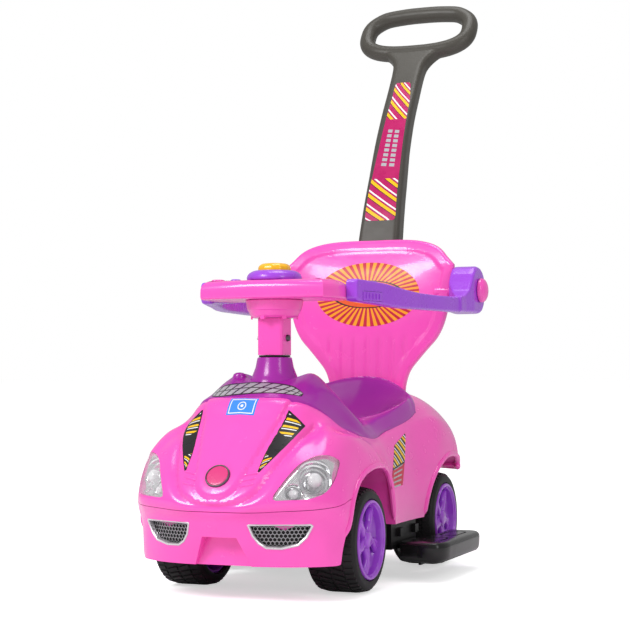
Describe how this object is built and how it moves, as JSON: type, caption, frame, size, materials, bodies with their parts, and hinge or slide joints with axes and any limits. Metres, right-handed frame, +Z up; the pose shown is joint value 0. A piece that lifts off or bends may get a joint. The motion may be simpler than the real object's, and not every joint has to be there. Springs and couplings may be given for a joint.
{
  "type": "ride-on push car",
  "caption": "Foot-to-floor ride-on car with steering console, lifting guard arms, backrest, push handle and pull-out footrests.",
  "frame": {"origin": "floor level under the middle of the whole car's footprint", "axes": "+Z up, the car faces -Y, +X is the rider's left"},
  "size_m": [0.415, 0.8872, 0.9427],
  "materials": {
    "body_pink": "glossy moulded polypropylene",
    "saddle_purple": "glossy moulded polypropylene",
    "arm_purple": "glossy moulded polypropylene",
    "dome_purple": "glossy moulded polypropylene",
    "horn_yellow": "glossy moulded plastic",
    "rim_purple": "glossy moulded plastic",
    "tyre_black": "semi-matte blow-moulded plastic",
    "chassis_black": "matte moulded plastic",
    "footrest_black": "glossy moulded plastic",
    "handle_grey": "satin moulded plastic",
    "steel": "bright plated steel",
    "lamp_chrome": "vacuum-plated plastic",
    "clear_lens": "clear moulded plastic",
    "bulb_glass": "clear moulded plastic",
    "grille_silver": "silver-painted plastic",
    "emblem_magenta": "glossy plastic",
    "bush_black": "matte plastic",
    "board_green": "circuit board",
    "lock_black": "satin plastic"
  },
  "bodies": {
    "car": {"body_shell": "body_pink", "front_bumper": "body_pink", "seat_saddle": "saddle_purple", "chassis": "chassis_black", "rear_axle": "steel", "axle_nut_rear_left": "steel", "axle_nut_rear_right": "steel", "kingpin_left": "steel", "kingpin_right": "steel", "grille_left": "grille_silver", "grille_right": "grille_silver", "headlight_lens_left": "clear_lens", "headlight_lens_right": "clear_lens", "headlight_reflector_left": "lamp_chrome", "headlight_reflector_right": "lamp_chrome", "headlight_bulb_left": "bulb_glass", "headlight_bulb_right": "bulb_glass", "emblem_disc": "emblem_magenta", "steering_bush": "bush_black", "backrest": "body_pink", "guard_pin_left": "steel", "guard_pin_right": "steel"},
    "steering": {"steering_column": "steel", "column_sleeve": "body_pink", "column_bolt": "steel", "column_nut": "steel", "steering_hub": "body_pink", "console_base": "body_pink", "steering_console": "body_pink", "music_dome": "dome_purple", "sound_board": "board_green", "speaker": "bush_black", "battery_box": "bush_black"},
    "horn_button": {"horn_button": "horn_yellow"},
    "tune_button_pink": {"tune_button_pink": "body_pink"},
    "tune_button_purple": {"tune_button_purple": "dome_purple"},
    "tie_rod": {"tie_rod": "steel"},
    "knuckle_left": {"knuckle_left": "steel", "axle_nut_front_left": "steel"},
    "knuckle_right": {"knuckle_right": "steel", "axle_nut_front_right": "steel"},
    "wheel_front_left": {"tyre_front_left": "tyre_black", "rim_front_left": "rim_purple"},
    "wheel_front_right": {"tyre_front_right": "tyre_black", "rim_front_right": "rim_purple"},
    "wheel_rear_left": {"tyre_rear_left": "tyre_black", "rim_rear_left": "rim_purple"},
    "wheel_rear_right": {"tyre_rear_right": "tyre_black", "rim_rear_right": "rim_purple"},
    "guard_arm_left": {"guard_arm_left": "arm_purple", "guard_knob_left": "body_pink"},
    "guard_arm_right": {"guard_arm_right": "arm_purple", "guard_knob_right": "body_pink"},
    "guard_latch_left": {"guard_latch_left": "arm_purple"},
    "guard_latch_right": {"guard_latch_right": "arm_purple"},
    "push_handle": {"push_handle": "handle_grey"},
    "handle_lock_button": {"handle_lock_button": "lock_black"},
    "footrest_left": {"footrest_left": "footrest_black"},
    "footrest_right": {"footrest_right": "footrest_black"}
  },
  "joints": [
    {"name": "steering_turn", "type": "hinge", "parent": "car", "child": "steering", "pos_m": [0, -0.2446, 0], "axis": [0, 0, 1], "range_deg": [-20, 20]},
    {"name": "knuckle_left_turn", "type": "hinge", "parent": "car", "child": "knuckle_left", "pos_m": [0.06, -0.2616, 0.07], "axis": [0, 0, 1], "range_deg": [-20, 20]},
    {"name": "knuckle_right_turn", "type": "hinge", "parent": "car", "child": "knuckle_right", "pos_m": [-0.06, -0.2616, 0.07], "axis": [0, 0, 1], "range_deg": [-20, 20]},
    {"name": "tie_rod_shift", "type": "slide", "parent": "car", "child": "tie_rod", "axis": [1, 0, 0], "range_m": [-0.0106, 0.0106]},
    {"name": "wheel_front_left_spin", "type": "hinge", "parent": "knuckle_left", "child": "wheel_front_left", "pos_m": [0.1115, -0.2616, 0.07], "axis": [1, 0, 0], "continuous": true},
    {"name": "wheel_front_right_spin", "type": "hinge", "parent": "knuckle_right", "child": "wheel_front_right", "pos_m": [-0.1115, -0.2616, 0.07], "axis": [1, 0, 0], "continuous": true},
    {"name": "wheel_rear_left_spin", "type": "hinge", "parent": "car", "child": "wheel_rear_left", "pos_m": [0.1115, 0.0724, 0.07], "axis": [1, 0, 0], "continuous": true},
    {"name": "wheel_rear_right_spin", "type": "hinge", "parent": "car", "child": "wheel_rear_right", "pos_m": [-0.1115, 0.0724, 0.07], "axis": [1, 0, 0], "continuous": true},
    {"name": "horn_press", "type": "slide", "parent": "steering", "child": "horn_button", "axis": [0, 0, -1], "range_m": [0, 0.003], "stiffness_N_per_m": 300, "springref_m": -0.002},
    {"name": "tune_pink_press", "type": "slide", "parent": "steering", "child": "tune_button_pink", "axis": [0, 0, -1], "range_m": [0, 0.0015], "stiffness_N_per_m": 200, "springref_m": -0.002},
    {"name": "tune_purple_press", "type": "slide", "parent": "steering", "child": "tune_button_purple", "axis": [0, 0, -1], "range_m": [0, 0.0015], "stiffness_N_per_m": 200, "springref_m": -0.002},
    {"name": "guard_arm_left_lift", "type": "hinge", "parent": "car", "child": "guard_arm_left", "pos_m": [0.1435, 0.1404, 0.4192], "axis": [-1, 0, 0], "range_deg": [0, 100]},
    {"name": "guard_arm_right_lift", "type": "hinge", "parent": "car", "child": "guard_arm_right", "pos_m": [-0.1435, 0.1404, 0.4192], "axis": [-1, 0, 0], "range_deg": [0, 100]},
    {"name": "guard_latch_left_press", "type": "slide", "parent": "guard_arm_left", "child": "guard_latch_left", "axis": [-0.968, 0.251, 0], "range_m": [0, 0.003], "stiffness_N_per_m": 200, "springref_m": -0.002},
    {"name": "guard_latch_right_press", "type": "slide", "parent": "guard_arm_right", "child": "guard_latch_right", "axis": [0.968, 0.251, 0], "range_m": [0, 0.003], "stiffness_N_per_m": 200, "springref_m": -0.002},
    {"name": "push_handle_lift", "type": "slide", "parent": "car", "child": "push_handle", "axis": [0, 0, 1], "range_m": [0, 0.08]},
    {"name": "handle_lock_press", "type": "slide", "parent": "car", "child": "handle_lock_button", "axis": [0, -1, 0], "range_m": [0, 0.0025], "stiffness_N_per_m": 200, "springref_m": -0.002},
    {"name": "footrest_left_pull", "type": "slide", "parent": "car", "child": "footrest_left", "axis": [1, 0, 0], "range_m": [0, 0.04]},
    {"name": "footrest_right_pull", "type": "slide", "parent": "car", "child": "footrest_right", "axis": [-1, 0, 0], "range_m": [0, 0.04]}
  ],
  "couplings": [
    {"joint": "knuckle_left_turn", "follows": "steering_turn", "ratio": 1},
    {"joint": "knuckle_right_turn", "follows": "steering_turn", "ratio": 1},
    {"joint": "tie_rod_shift", "follows": "steering_turn", "m_per_rad": -0.03}
  ]
}
